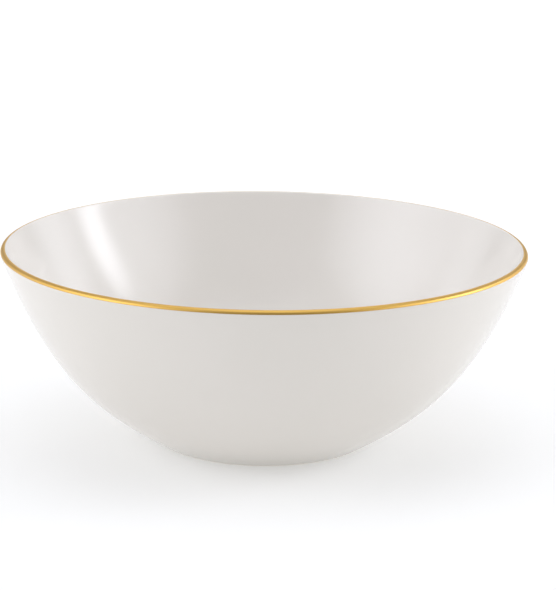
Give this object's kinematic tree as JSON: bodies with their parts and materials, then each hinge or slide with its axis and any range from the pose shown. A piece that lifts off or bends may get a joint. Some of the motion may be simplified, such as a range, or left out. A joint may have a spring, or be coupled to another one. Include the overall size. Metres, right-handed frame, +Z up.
{
  "type": "porcelain serving bowl",
  "caption": "Round white porcelain serving bowl with a flared coupe wall, a low foot ring, clear glaze and a thin gold line along the lip.",
  "frame": {"origin": "on the table plane, at the bowl's axis", "axes": "+Z up along the bowl's axis of revolution; X and Y are level, and any direction is a front"},
  "size_m": [0.254, 0.254, 0.0955],
  "materials": {
    "fired_porcelain": "translucent white fired porcelain under the glaze",
    "bare_porcelain": "unglazed, ground matt where it meets the table",
    "clear_glaze": "clear high-gloss glaze over white porcelain",
    "burnished_gold": "bright gold fired on along the lip"
  },
  "bodies": {
    "root": {"porcelain_body": "fired_porcelain", "foot_ring": "bare_porcelain", "exterior_glaze": "clear_glaze", "interior_glaze": "clear_glaze", "base_glaze": "clear_glaze", "gold_rim_band": "burnished_gold"}
  },
  "joints": []
}
